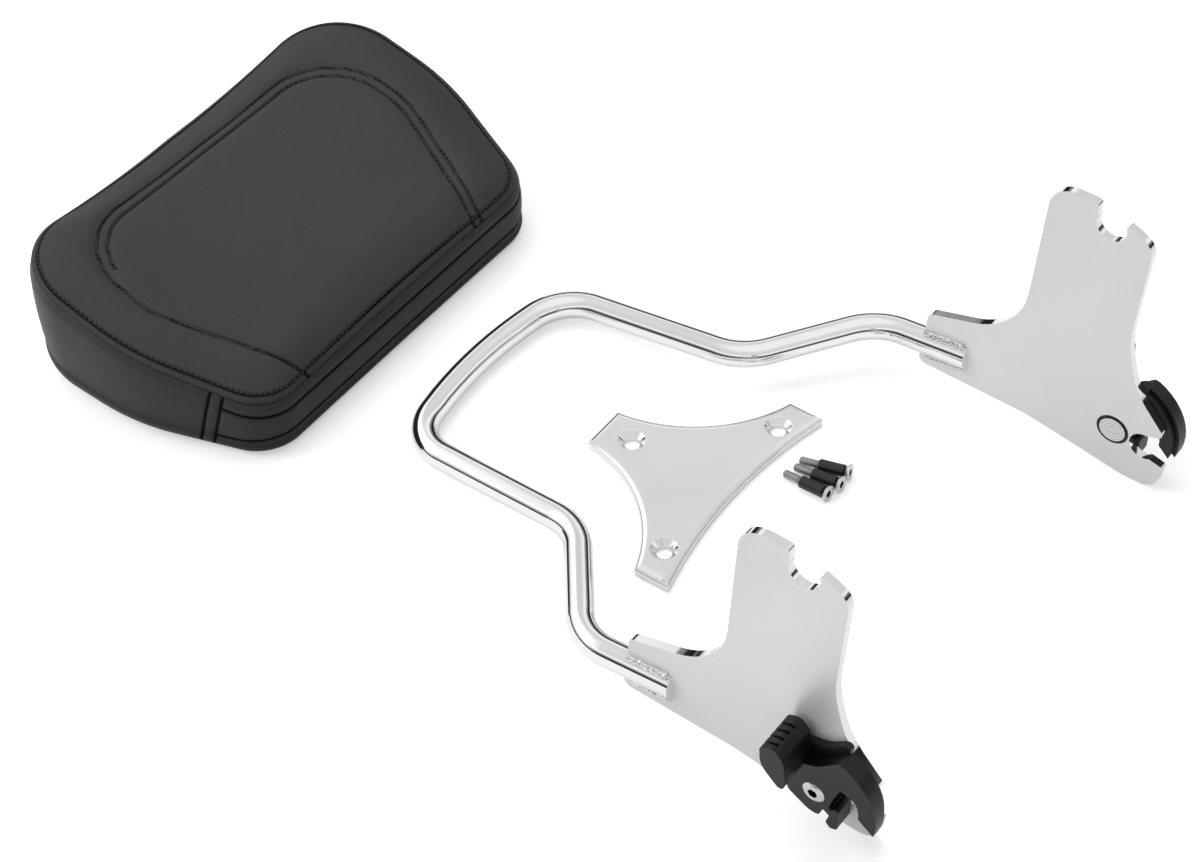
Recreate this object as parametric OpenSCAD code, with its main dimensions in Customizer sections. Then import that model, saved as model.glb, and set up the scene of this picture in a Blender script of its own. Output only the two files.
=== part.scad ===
// Detachable sissy bar kit, laid out on one floor: the chrome hoop with its two
// docking plates and rotary latches, the upholstered pad, the three-arm mounting
// plate and its three sleeved screws. Millimetres, +Z up, -X is towards the pad.

/* [Hoop] */
// Width over the outer faces of the two docking plates
bar_w = 290.8; // [280:0.2:310]
// Outer diameter of the hoop's tube
tube_d = 15.9; // [14:0.1:17]
// Length of the straight stub from the plate to the first bend's corner
stub_l = 57.5; // [50:0.5:66]
// Run of the jog between the first and second corner, along the bar
jog_l = 50; // [44:0.5:56]
// How far the jog brings each leg inwards
jog_in = 64.5; // [56:0.5:70]
// Length of the long leg from the second corner to the crown corner
leg_l = 122; // [110:0.5:140]
// How far the long leg closes in over its length
leg_in = 7.5; // [2:0.5:12]
// Rise of the crown's apex corner beyond the crown corners
crown_rise = 13.5; // [10:0.5:18]
// Centreline radius of the four jog bends
jog_bend_r = 36; // [26:0.5:44]
// Centreline radius of the two crown corners
crown_bend_r = 31; // [26:0.5:36]
// Slope of the hoop's plane below the plates' level line
hoop_slope = 7.49; // [4:0.1:10]

/* [Docking plate] */
// Thickness of a docking plate
plate_t = 4.8; // [4:0.1:6]
// Height of the arm's top above the tube's axis
arm_h = 151; // [145:0.2:165]
// Where the arm's rear edge stands, forward of the tube's end
arm_x = 34; // [28:0.5:38]
// Where the waist of the front edge stands
waist_x = 94; // [90:0.5:98]
// Reach of the toe beyond the tube's end
toe_x = 127; // [125:0.5:134]
// Depth of the toe below the tube's axis
toe_z = 28.9; // [26:0.5:34]
// Depth of the long lower edge below the tube's axis
sole_z = 19.4; // [17:0.5:22]
// Length of the forked tail that is welded to the tube
tail_l = 28.5; // [24:0.5:36]
// Height of the tail's upper finger
tail_h = 19.8; // [17:0.5:24]
// Radius of the docking notches, for the posts on the motorcycle
dock_r = 8.7; // [8:0.1:9.4]
// Front docking notch, forward of the tube's end
notch_x = 72.5; // [68:0.5:74]
// Front docking notch, above the tube's axis
notch_z = 139.6; // [134:0.2:143]
// Rear docking slot, forward of the tube's end
slot_x = 113.8; // [112:0.5:116]
// Rear docking slot, above the tube's axis
slot_z = -0.5; // [-2:0.5:1]
// Latch pivot hole, forward of the tube's end
pivot_x = 94.4; // [93:0.2:95]
// Latch pivot hole, above the tube's axis
pivot_z = 1; // [0:0.5:3]
// Radius of the latch pivot hole
pivot_hole_r = 9.75; // [9:0.05:10]

/* [Latch] */
// Thickness of the latch's back plate
latch_back_t = 3.7; // [3:0.1:4.4]
// Thickness of the latch lever's body
lever_t = 8; // [7.6:0.1:9]
// Length of the thumb tab, out from the back plate's outer face
tab_l = 24; // [20:0.5:28]
// Outer radius of the latch claw
claw_r = 35.8; // [35:0.2:37]
// Radial width of the latch claw
claw_w = 10; // [9:0.2:10.6]
// Radius of the bearing shank that the lever turns on
shank_r = 6; // [5.6:0.1:6.2]
// Angle by which the right lever is turned further down than the left one
right_turn = 0; // [0:1:34]
// Wire diameter of the torsion spring
spring_wire = 1.2; // [1:0.1:1.3]

/* [Mounting plate] */
// Thickness of the three-arm mounting plate
mount_t = 6; // [5:0.5:7]
// Lateral distance between the two wing holes
wing_pitch = 111; // [104:0.5:120]
// Distance from the wing holes' line to the tail hole
tail_pitch = 61.5; // [56:0.5:68]
// Width of the tail arm's end
arm_end_w = 29; // [23:0.5:33]
// How far the wings reach ahead of their holes
wing_fore = 17.5; // [14:0.5:20]
// How far the wings reach behind their holes, at their ends
wing_aft = 5.5; // [5:0.5:9]
// Distance from a hole to its arm's end
arm_end_l = 20.5; // [17:0.5:24]
// Radius of the holes for the sleeved screws
screw_hole_r = 4.6; // [4.2:0.1:4.7]
// Rim radius of the countersinks
sink_r = 7.8; // [7:0.1:8.4]

/* [Screws] */
// Length of a screw over all
screw_l = 30; // [28:0.5:36]
// Thread radius of a screw
thread_r = 2.6; // [2.4:0.1:2.8]
// Radius of a screw's flat head
screw_head_r = 5; // [4.8:0.1:5.1]
// Length of the black sleeve
sleeve_l = 15; // [12:0.5:18]
// Outer radius of the black sleeve
sleeve_r = 3.6; // [3.4:0.1:3.8]

/* [Pad] */
// Height of the pad, as it stands in use
pad_h = 181; // [165:1:200]
// Half width of the pad at its middle
pad_half = 148.5; // [140:0.5:160]
// Half width of the pad at its lower edge
pad_foot_half = 120; // [110:0.5:130]
// Half width of the pad at its upper corners
pad_head_half = 147; // [130:0.5:152]
// Thickness at the seam along the lower edge
pad_foot_t = 36; // [28:1:42]
// Thickness at the seam along the upper edge
pad_head_t = 68; // [54:1:74]
// How much the upper corners stand proud of the upper middle
pad_wing = 18; // [8:1:24]
// Swell of the upholstered face above its seam
pad_crown = 9; // [5:1:14]
// Thickness of the pad's base board
base_t = 4; // [3:0.5:6]

/* [Hidden] */
$fn = 64;

chrome = [0.86, 0.87, 0.88];
steel = [0.62, 0.63, 0.65];
black = [0.08, 0.08, 0.09];
vinyl = [0.16, 0.16, 0.17];

// Running gap between a part that turns and its neighbour
run_gap = 0.3;
// Radial clearance of the bearing
bearing_gap = 0.05;
tube_r = tube_d / 2;
mid_w = bar_w / 2;
plate_mid = plate_t / 2;

// Plan path of half of the hoop: distance behind the tube's end, distance from the plate's face
flat = cos(hoop_slope);
tube_in = 2;
hoop_half = [
    [-tube_in / flat, plate_mid],
    [stub_l / flat, plate_mid],
    [(stub_l + jog_l) / flat, plate_mid + jog_in],
    [(stub_l + jog_l + leg_l) / flat, plate_mid + jog_in + leg_in]
];
crown_x = hoop_half[3][0] + crown_rise;
crown_half = mid_w - hoop_half[3][1];
// Tangent length that the crown corner takes from the crown's side
crown_turn = atan2(crown_rise, crown_half);
corner_turn = 90 - atan2(leg_in, leg_l) - crown_turn;
crown_side = norm([crown_rise, crown_half]);
crown_tangent = crown_side - crown_bend_r * tan(corner_turn / 2) - 1;
crown_r = crown_tangent / tan(crown_turn);
hoop_path = concat(
    hoop_half,
    [[crown_x, mid_w]],
    [for (i = [3 : -1 : 0]) [hoop_half[i][0], bar_w - hoop_half[i][1]]]
);
hoop_radii = [0, jog_bend_r, jog_bend_r, crown_bend_r, crown_r,
              crown_bend_r, jog_bend_r, jog_bend_r, 0];

// The bar rests on the crown and on the two toes: its tilt follows from their heights
toe_r = 11;
toe_lean = atan2(2.5, toe_z + slot_z - 9.6);
toe_round = [toe_x - 2.5 - toe_r * tan(45 - toe_lean / 2), -toe_z + toe_r];
crown_mid = crown_x - crown_r * (1 / cos(crown_turn) - 1);
crown_low = [-crown_mid * flat, -crown_mid * sin(hoop_slope)];
rest_span = norm(toe_round - crown_low);
bar_tilt = asin((tube_r - toe_r) / rest_span)
         - atan2(crown_low[1] - toe_round[1], toe_round[0] - crown_low[0]);
bar_lift = tube_r + crown_low[0] * sin(bar_tilt) - crown_low[1] * cos(bar_tilt);

// Where the pieces stand on the floor
bar_at = [169.41, -mid_w];
mount_at = [100.41, 2.3];
pad_at = [-209.29, -1.9];

function unit(v) = v / norm(v);
function turned(v, a) = [v[0] * cos(a) - v[1] * sin(a), v[0] * sin(a) + v[1] * cos(a)];

// Points of the arc that rounds the corner at p, between its neighbours a and b
function corner_arc(p, a, b, r, step = 9) =
    let (u = unit(a - p), w = unit(b - p), ang = acos(u * w),
         c = p + unit(u + w) * r / sin(ang / 2),
         s = p + u * r / tan(ang / 2) - c,
         n = max(2, ceil((180 - ang) / step)),
         way = cross(s, p - c) > 0 ? 1 : -1)
    [for (k = [0 : n]) c + turned(s, way * (180 - ang) * k / n)];

// Outline with every corner [x, y, r] rounded by its own radius
function rounded(pts, step = 9) =
    let (n = len(pts), xy = [for (p = pts) [p[0], p[1]]])
    [for (i = [0 : n - 1])
        each pts[i][2] <= 0 ? [xy[i]]
            : corner_arc(xy[i], xy[(i + n - 1) % n], xy[(i + 1) % n], pts[i][2], step)];

// Round bar along a flat path, with a torus segment at each corner
module bent_tube(path, radii, r) {
    // Straight runs reach this far into the bends, a hair inside their skin
    lap = 0.4;
    last = len(path) - 1;
    function turn_at(i) =
        let (a = unit(path[i] - path[i - 1]), b = unit(path[i + 1] - path[i]))
        atan2(cross(a, b), a * b);
    function trim_at(i) = (i == 0 || i == last) ? 0 : radii[i] * tan(abs(turn_at(i)) / 2);
    for (i = [0 : last - 1]) {
        way = unit(path[i + 1] - path[i]);
        lap_a = i == 0 ? 0 : lap;
        lap_b = i == last - 1 ? 0 : lap;
        from = path[i] + way * (trim_at(i) - lap_a);
        run = norm(path[i + 1] - path[i]) - trim_at(i) - trim_at(i + 1) + lap_a + lap_b;
        translate([from[0], from[1], 0])
            rotate([0, 0, atan2(way[1], way[0])])
                rotate([0, 90, 0])
                    cylinder(h = run, r = r - 0.04);
    }
    for (i = [1 : last - 1]) {
        way = unit(path[i] - path[i - 1]);
        side = turn_at(i) > 0 ? 1 : -1;
        from = path[i] - way * trim_at(i);
        centre = from + side * radii[i] * [-way[1], way[0]];
        begin = atan2(from[1] - centre[1], from[0] - centre[0]);
        translate([centre[0], centre[1], 0])
            rotate([0, 0, side > 0 ? begin : begin - abs(turn_at(i))])
                rotate_extrude(angle = abs(turn_at(i)))
                    translate([radii[i], 0])
                        circle(r);
    }
}

// The bar's own frame, set down on the floor
module bar_pose() {
    translate([bar_at[0], bar_at[1], bar_lift])
        rotate([0, bar_tilt, 0])
            children();
}

// One side of the bar: 0 is the left side as drawn, 1 its mirror image
module bar_side(side) {
    bar_pose()
        translate([0, side * bar_w, 0])
            mirror([0, side, 0])
                children();
}

// A profile in the bar's side plane, from one outward level to another
module side_slab(low, high) {
    translate([0, -low, 0])
        rotate([90, 0, 0])
            linear_extrude(high - low)
                children();
}

module hoop_tube() {
    color(chrome)
        bar_pose()
            rotate([0, 180 - hoop_slope, 0])
                mirror([0, 0, 1])
                    bent_tube(hoop_path, hoop_radii, tube_r);
}

// Slot edges of the fork follow the tube's slope
plate_outline = [
    [-tail_l, -sole_z, 5],
    [42, -sole_z, 80],
    [toe_x - 22.5, -toe_z, 25],
    [toe_x - 2.5, -toe_z, toe_r],
    [toe_x, slot_z - 9.6, 1.5],
    [slot_x + 1, slot_z - 6.4, 0],
    [slot_x + 1, slot_z + dock_r, 0],
    [toe_x - 2, slot_z + dock_r + 4.2, 3],
    [waist_x + 8.6, 37, 50],
    [waist_x, 68, 70],
    [waist_x + 3.3, arm_h - 13.4, 11],
    [notch_x + 9.6, arm_h - 6.2, 1.2],
    [notch_x + 6, notch_z + 2, 0],
    [notch_x - dock_r, notch_z + 2, 0],
    [notch_x - dock_r, arm_h, 2.5],
    [arm_x + 2.6, arm_h, 15],
    [arm_x - 2.8, 38.5, 44],
    [-tail_l + 3.4, tail_h, 5]
];

module docking_plate(side) {
    color(chrome)
        bar_side(side)
            difference() {
                side_slab(-plate_t, 0)
                    difference() {
                        polygon(rounded(plate_outline));
                        rotate(hoop_slope)
                            translate([-2 * tail_l, -tube_r])
                                square([2 * tail_l + tube_in / flat, tube_d]);
                    }
                for (at = [[notch_x, notch_z, dock_r], [slot_x, slot_z, dock_r],
                           [pivot_x, pivot_z, pivot_hole_r]])
                    translate([at[0], -1, at[1]])
                        rotate([-90, 0, 0])
                            cylinder(h = plate_t + 2, r = at[2]);
            }
}

// Scalloped weld beads in the four corners between the tube and the plate's faces
bead_r = 2.3;
bead_n = 7;
module weld_bead(length) {
    pitch = length / bead_n;
    rotate([0, 90, 0])
        rotate_extrude()
            polygon(concat(
                [[0, 0]],
                [for (i = [0 : bead_n * 6])
                    [bead_r * (0.78 + 0.22 * abs(sin(i * 30))) * (i == 0 || i == bead_n * 6 ? 0.5 : 1),
                     i * pitch / 6]],
                [[0, length]]));
}

module tube_weld(side) {
    reach = tail_l - 3;
    edge = sqrt(tube_r * tube_r - plate_mid * plate_mid);
    color(chrome)
        bar_side(side)
            rotate([0, -hoop_slope, 0])
                for (face = [0, 1], rail = [-1, 1])
                    translate([-reach, face == 0 ? -0.6 : plate_t + 0.6, rail * (edge + 0.9)])
                        weld_bead(reach + 1);
}

// Latch outlines, drawn about the pivot: the claw is an arc, the finger hangs below
claw_in = claw_r - claw_w;
function polar(r, a) = [r * cos(a), r * sin(a)];
claw_low = -13;
claw_high = 66;

function latch_points(rise, trim) = concat(
    [for (k = [0 : 10]) concat(polar(claw_r - trim, claw_low + (claw_high - claw_low) * k / 10), [0])],
    [[13.6, 34.6 + rise, 2.5], [0, 21 + rise * 1.3, 16], [-14.8, 15.5 + rise * 1.6, 3],
     [-15.2, -8, 5], [-2, -15.6, 8], [4.2, -15.6, 2.5], [5.8, -8.6, 0.8],
     [9.8, -11.4, 0.8], [8.2, -17.8, 1.5], [11, -20.9, 1.5], [15, -19.2, 1.5],
     [15, -4.4, 1.5], [12.2, -4.4, 1], [10.4, -7.4, 0.8],
     [9.4, -4.6, 1], [10.4, 1, 4], [14.8, 14.4, 3], [claw_in * 0.94, 9.3, 6]],
    [for (a = [10, 4, -2]) concat(polar(claw_in, a), [0])]
);

module latch_profile(rise, trim) {
    polygon(rounded(latch_points(rise, trim), 15));
}

back_level = run_gap;
lever_level = back_level + latch_back_t;
face_level = lever_level + lever_t;
flange_t = 1.2;
head_seat = face_level - 2.5;
coil_r = shank_r + 2.1;

module outward_cylinder(low, high, r, r2 = 0) {
    translate([0, -low, 0])
        rotate([90, 0, 0])
            cylinder(h = high - low, r1 = r, r2 = r2 > 0 ? r2 : r);
}

// The latch turns about its pivot: the right one is drawn further down
module latch_pose(side) {
    bar_side(side)
        translate([pivot_x, 0, pivot_z])
            rotate([0, side * right_turn, 0])
                children();
}

// Leaf-shaped thumb tab with grip grooves across its back
tab_outline = [
    [-22.8, 37, 3], [-22, 23.6, 14], [-8.2, 10.8, 2.5], [-7.2, 20, 8], [-9, 34.5, 4],
    [-15, 41, 4]
];

groove_reach = 40;
groove_start = 39.2;
groove_pitch = 4.6;
groove_w = 1.6;

module latch_lever(side) {
    color(black)
        latch_pose(side)
            difference() {
                union() {
                    side_slab(lever_level, face_level)
                        union() {
                            latch_profile(0, 0);
                            polygon(rounded(tab_outline, 15));
                        }
                    side_slab(face_level, lever_level + tab_l)
                        polygon(rounded(tab_outline, 15));
                }
                outward_cylinder(lever_level - 1, head_seat - 1, coil_r + 1.2);
                outward_cylinder(lever_level, face_level + 1, shank_r + bearing_gap);
                outward_cylinder(head_seat, face_level + 1, pivot_head_r + run_gap);
                // Slot for the spring's outer leg
                translate([-coil_r - 4.4, -lever_level - 2.6, -coil_r - spring_wire / 2 - 0.3])
                    cube([coil_r + 4.4, 3, spring_wire + 0.6]);
                for (i = [0 : 3])
                    translate([-groove_reach, -lever_level - tab_l + 3 + i * groove_pitch,
                               groove_start - 0.2 * i])
                        rotate([0, 38, 0])
                            translate([-groove_reach / 2, 0, -1])
                                cube([groove_reach, groove_w, groove_reach]);
            }
}

module latch_back(side) {
    color(black)
        latch_pose(side)
            difference() {
                side_slab(back_level, lever_level)
                    latch_profile(6, 2.4);
                outward_cylinder(back_level - 1, flange_t + run_gap, stud_flange_r + run_gap);
                outward_cylinder(0, lever_level + 1, shank_r + bearing_gap);
            }
}

// The stud's face stands proud of the plate's inner face, inside a black bush
pivot_head_r = 6.4;
stud_proud = 0.5;
stud_disc_r = 7.8;
stud_flange_r = 10.3;
bush_t = 2.6;
tang_d = spring_wire - 0.1;
tang_level = lever_level + 0.3 + spring_wire * 1.5;
module pivot_stud(side) {
    color(steel)
        bar_side(side)
            translate([pivot_x, 0, pivot_z])
                difference() {
                    union() {
                        outward_cylinder(-plate_t - stud_proud, 0, stud_disc_r);
                        outward_cylinder(0, flange_t, stud_flange_r);
                        outward_cylinder(flange_t, head_seat + run_gap, shank_r);
                    }
                    outward_cylinder(2, face_level, thread_r);
                    // Turned rings on the face that shows through the plate's hole
                    for (ring = [2.4, 4.6, 6.6])
                        translate([0, plate_t + stud_proud, 0])
                            rotate([90, 0, 0])
                                rotate_extrude()
                                    translate([ring, 0])
                                        circle(r = 0.35, $fn = 16);
                    // Slot for the spring's inner tang
                    translate([-shank_r - 1, -tang_level - tang_d / 2 - 0.1, -tang_d / 2 - 0.1])
                        cube([2.6, tang_d + 0.2, tang_d + 0.2]);
                }
}

module pivot_bush(side) {
    color(black)
        bar_side(side)
            translate([pivot_x, 0, pivot_z])
                difference() {
                    outward_cylinder(-bush_t, 0, pivot_hole_r - bearing_gap);
                    outward_cylinder(-bush_t - 1, 1, stud_disc_r + bearing_gap);
                }
}

module pivot_screw(side) {
    color(chrome)
        bar_side(side)
            translate([pivot_x, 0, pivot_z])
                difference() {
                    union() {
                        outward_cylinder(head_seat + run_gap, face_level, pivot_head_r);
                        outward_cylinder(face_level, face_level + 0.9, pivot_head_r, pivot_head_r - 1.6);
                        outward_cylinder(3, head_seat + run_gap, thread_r - bearing_gap);
                    }
                    translate([0, -face_level + 1.6, 0])
                        rotate([90, 0, 0])
                            cylinder(h = 4, r = 2.9, $fn = 6);
                }
}

module latch_spring(side) {
    low = lever_level + 0.3;
    color(steel)
        latch_pose(side)
            union() {
                for (turn = [0 : 2])
                    translate([0, -low - spring_wire * (turn + 0.5), 0])
                        rotate([90, 0, 0])
                            rotate_extrude()
                                translate([coil_r, 0])
                                    circle(d = spring_wire + 0.05, $fn = 24);
                translate([-coil_r - 4, -low - spring_wire / 2, -coil_r])
                    rotate([0, 90, 0])
                        cylinder(h = coil_r + 4, d = spring_wire, $fn = 24);
            }
    color(steel)
        bar_side(side)
            translate([pivot_x, 0, pivot_z])
                translate([-coil_r, -tang_level, 0])
                    rotate([0, 90, 0])
                        cylinder(h = coil_r - shank_r + 1.3, d = tang_d, $fn = 24);
}

// Mounting plate, flat on the floor: tail arm to -X, wings to +Y and -Y
function side_arc(a, b, sag, n = 10) =
    let (mid = (a + b) / 2, chord = norm(b - a), r = (chord * chord / 4 + sag * sag) / (2 * sag),
         out = unit([a[1] - b[1], b[0] - a[0]]), c = mid + out * (r - sag),
         half = asin(chord / 2 / r))
    [for (k = [0 : n]) c + turned(a - c, (k / n) * 2 * half)];

module mount_outline() {
    tail = [-tail_pitch - arm_end_l, arm_end_w / 2];
    wing = [-wing_aft, wing_pitch / 2 + arm_end_l];
    fore = [wing_fore, wing_pitch / 2 + arm_end_l];
    offset(r = 1.5)
        offset(delta = -1.5)
            polygon(concat(
                side_arc([tail[0], tail[1]], wing, 14.5),
                side_arc(fore, [fore[0], -fore[1]], 10, 16),
                side_arc([wing[0], -wing[1]], [tail[0], -tail[1]], 14.5)));
}

module mount_holes() {
    for (at = [[-tail_pitch, 0], [0, wing_pitch / 2], [0, -wing_pitch / 2]])
        translate([at[0], at[1], 0])
            children();
}

module mounting_plate() {
    sink_d = sink_r - screw_hole_r;
    color(chrome)
        translate([mount_at[0], mount_at[1], 0])
            difference() {
                linear_extrude(mount_t)
                    mount_outline();
                mount_holes()
                    translate([0, 0, -1])
                        cylinder(h = mount_t + 2, r = screw_hole_r);
                mount_holes()
                    translate([0, 0, mount_t - sink_d])
                        cylinder(h = sink_d + 0.01, r1 = screw_hole_r, r2 = sink_r + 0.01);
            }
}

// Screws lie on the head's rim and the sleeve's end
head_t = 3.4;
screw_places = [[152.4, 52, 12], [153.4, 41.5, 3], [151.4, 31.5, -2]];
head_rim = 0.8;
tip_l = 1;
screw_lean = atan2(screw_head_r - sleeve_r, head_t + sleeve_l - head_rim);

module screw_pose(i) {
    at = screw_places[i];
    translate([at[0], at[1], 0])
        rotate([0, 0, at[2]])
            translate([0, 0, screw_head_r * cos(screw_lean) + head_rim * sin(screw_lean)])
                rotate([0, -90 - screw_lean, 0])
                    children();
}

module mount_screw(i) {
    color(chrome)
        screw_pose(i)
            difference() {
                union() {
                    cylinder(h = head_rim, r = screw_head_r);
                    translate([0, 0, head_rim])
                        cylinder(h = head_t - head_rim, r1 = screw_head_r, r2 = thread_r);
                    cylinder(h = screw_l - tip_l, r = thread_r);
                    translate([0, 0, screw_l - tip_l])
                        cylinder(h = tip_l, r1 = thread_r, r2 = thread_r - 0.7);
                }
                translate([0, 0, -1])
                    cylinder(h = 3.2, r = 2.3, $fn = 6);
            }
}

module screw_sleeve(i) {
    color(black)
        screw_pose(i)
            translate([0, 0, head_t])
                difference() {
                    cylinder(h = sleeve_l, r = sleeve_r);
                    translate([0, 0, -1])
                        cylinder(h = sleeve_l + 2, r = thread_r + bearing_gap);
                }
}

// Pad outline, lower edge at +X, rounded at its four corners
pad_mid_x = pad_h / 2;
pad_outline = [
    [pad_mid_x, -pad_foot_half, 30],
    [pad_mid_x, pad_foot_half, 30],
    [pad_mid_x - pad_h * 0.45, pad_half, 140],
    [-pad_mid_x + 5, pad_head_half, 50],
    [-pad_mid_x, 0, 330],
    [-pad_mid_x + 5, -pad_head_half, 50],
    [pad_mid_x - pad_h * 0.45, -pad_half, 140]
];
pad_ring = rounded(pad_outline, 6);

// Height of the top seam at a place on the outline
function pad_share(p) = (pad_mid_x - p[0]) / pad_h;
function seam_height(p) =
    let (u = pad_share(p))
    pad_foot_t + (pad_head_t - pad_foot_t) * u + pad_wing * u * pow(p[1] / pad_half, 2);
// Rings of the cushion from its back edge to the crowned face: inset share, height
function pad_point(p, inset, level, swell) =
    let (q = p * (1 - inset))
    [q[0], q[1], level < 1 ? level * seam_height(p) : seam_height(q) + pad_crown * swell];
// Rounded back edge, from a tight foot to a full head
function back_edge(p, a) =
    let (r = 5 + 14 * pad_share(p), q = p * (1 - r * (1 - sin(a)) / norm(p)))
    [q[0], q[1], r * (1 - cos(a))];
edge_angles = [0, 22.5, 45, 67.5, 90];
pad_levels = concat(
    [[0.003, 0.6, 0], [0, 1, 0]],
    [for (k = [1 : 9]) let (s = k / 10) [s, 1, pow(sin(90 * min(1, s * 1.7)), 0.8)]]
);

module pad_solid() {
    n = len(pad_ring);
    m = len(edge_angles) + len(pad_levels);
    rings = concat(
        [for (a = edge_angles) for (p = pad_ring) back_edge(p, a)],
        [for (v = pad_levels) for (p = pad_ring) pad_point(p, v[0], v[1], v[2])]);
    bottom = [[0, 0, 0]];
    top = [[0, 0, seam_height([0, 0]) + pad_crown]];
    polyhedron(
        points = concat(rings, bottom, top),
        faces = concat(
            [for (j = [0 : m - 2]) for (i = [0 : n - 1]) [j * n + i, (j + 1) * n + i, (j + 1) * n + (i + 1) % n]],
            [for (j = [0 : m - 2]) for (i = [0 : n - 1]) [j * n + i, (j + 1) * n + (i + 1) % n, j * n + (i + 1) % n]],
            [for (i = [0 : n - 1]) [m * n, i, (i + 1) % n]],
            [for (i = [0 : n - 1]) [m * n + 1, (m - 1) * n + (i + 1) % n, (m - 1) * n + i]]));
}

base_inset = 24;
base_gap = 0.3;
insert_r = 5.6;
insert_l = 10;
flange_r = 10;

module base_outline(gap) {
    offset(delta = gap - base_inset)
        polygon(pad_ring);
}

module pad_pose() {
    translate([pad_at[0], pad_at[1], 0])
        children();
}

// The three inserts repeat the mounting plate's pattern, tail hole towards the pad's lower edge
module insert_places() {
    for (at = [[tail_pitch / 2, 0], [-tail_pitch / 2, wing_pitch / 2], [-tail_pitch / 2, -wing_pitch / 2]])
        translate([at[0], at[1], 0])
            children();
}

module pad_cushion() {
    color(vinyl)
        pad_pose()
            difference() {
                pad_solid();
                translate([0, 0, -1])
                    linear_extrude(base_t + 1)
                        base_outline(0);
                insert_places()
                    cylinder(h = base_t + insert_l + base_gap, r = insert_r + base_gap);
                insert_places()
                    cylinder(h = base_t + 1.2, r = flange_r + base_gap);
            }
}

module pad_base() {
    color(black)
        pad_pose()
            difference() {
                linear_extrude(base_t)
                    base_outline(-base_gap);
                insert_places()
                    translate([0, 0, -1])
                        cylinder(h = base_t + 2, r = thread_r + 0.4);
            }
}

module pad_insert(i) {
    at = [[tail_pitch / 2, 0], [-tail_pitch / 2, wing_pitch / 2], [-tail_pitch / 2, -wing_pitch / 2]][i];
    color(steel)
        pad_pose()
            translate([at[0], at[1], base_t])
                difference() {
                    union() {
                        cylinder(h = 1.2, r = flange_r);
                        cylinder(h = insert_l, r = insert_r);
                    }
                    translate([0, 0, -1])
                        cylinder(h = insert_l - 1, r = thread_r + bearing_gap);
                }
}

hoop_tube();
docking_plate(0);  // docking_plate_left
docking_plate(1);  // docking_plate_right
tube_weld(0);  // tube_weld_left
tube_weld(1);  // tube_weld_right
latch_lever(0);  // latch_lever_left
latch_lever(1);  // latch_lever_right
latch_back(0);  // latch_back_left
latch_back(1);  // latch_back_right
pivot_stud(0);  // pivot_stud_left
pivot_stud(1);  // pivot_stud_right
pivot_bush(0);  // pivot_bush_left
pivot_bush(1);  // pivot_bush_right
pivot_screw(0);  // pivot_screw_left
pivot_screw(1);  // pivot_screw_right
latch_spring(0);  // latch_spring_left
latch_spring(1);  // latch_spring_right
mounting_plate();
mount_screw(0);  // mount_screw_1
mount_screw(1);  // mount_screw_2
mount_screw(2);  // mount_screw_3
screw_sleeve(0);  // screw_sleeve_1
screw_sleeve(1);  // screw_sleeve_2
screw_sleeve(2);  // screw_sleeve_3
pad_cushion();
pad_base();
pad_insert(0);  // pad_insert_1
pad_insert(1);  // pad_insert_2
pad_insert(2);  // pad_insert_3
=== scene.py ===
import math

import bmesh
import bpy
from mathutils import Matrix, Vector, noise


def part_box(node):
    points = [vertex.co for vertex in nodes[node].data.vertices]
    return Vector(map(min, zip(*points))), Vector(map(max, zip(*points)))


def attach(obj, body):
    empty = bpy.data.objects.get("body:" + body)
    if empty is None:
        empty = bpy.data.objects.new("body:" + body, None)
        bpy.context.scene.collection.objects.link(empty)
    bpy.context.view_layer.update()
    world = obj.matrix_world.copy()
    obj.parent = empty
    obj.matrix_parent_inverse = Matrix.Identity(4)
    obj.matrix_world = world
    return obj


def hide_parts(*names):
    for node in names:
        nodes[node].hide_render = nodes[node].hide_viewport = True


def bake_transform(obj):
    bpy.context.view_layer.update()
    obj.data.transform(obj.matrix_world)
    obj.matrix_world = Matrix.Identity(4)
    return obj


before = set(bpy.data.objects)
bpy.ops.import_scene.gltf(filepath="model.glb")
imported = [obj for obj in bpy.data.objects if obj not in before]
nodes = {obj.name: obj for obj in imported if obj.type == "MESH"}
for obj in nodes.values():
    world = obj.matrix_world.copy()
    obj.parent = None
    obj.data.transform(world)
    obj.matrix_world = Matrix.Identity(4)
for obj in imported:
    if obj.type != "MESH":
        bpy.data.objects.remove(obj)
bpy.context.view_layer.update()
MM = 0.001

# Half the band between the two rows of the boxing's joint, and a distance well off any seam
JOINT_HALF, FAR = 3.8, 10.0


# ---------------------------------------------------------------- shader terms
class Term:
    """One socket of a material, with Python's operators adding Math nodes."""

    def __init__(self, finish, socket):
        self.finish = finish
        self.socket = socket

    def math(self, operation, *values):
        return self.finish.add("ShaderNodeMath", {"operation": operation}, list(values))

    def __add__(self, other):
        return self.math("ADD", self, other)

    def __radd__(self, other):
        return self.math("ADD", other, self)

    def __sub__(self, other):
        return self.math("SUBTRACT", self, other)

    def __rsub__(self, other):
        return self.math("SUBTRACT", other, self)

    def __mul__(self, other):
        return self.math("MULTIPLY", self, other)

    def __rmul__(self, other):
        return self.math("MULTIPLY", other, self)

    def __abs__(self):
        return self.math("ABSOLUTE", self)

    def least(self, other):
        return self.math("MINIMUM", self, other)

    def most(self, other):
        return self.math("MAXIMUM", self, other)

    def step(self, low, high):
        """0 below low, 1 above high, eased between them."""
        return self.finish.add(
            "ShaderNodeMapRange",
            {"interpolation_type": "SMOOTHSTEP"},
            {"Value": self, "From Min": low, "From Max": high},
        )


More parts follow.
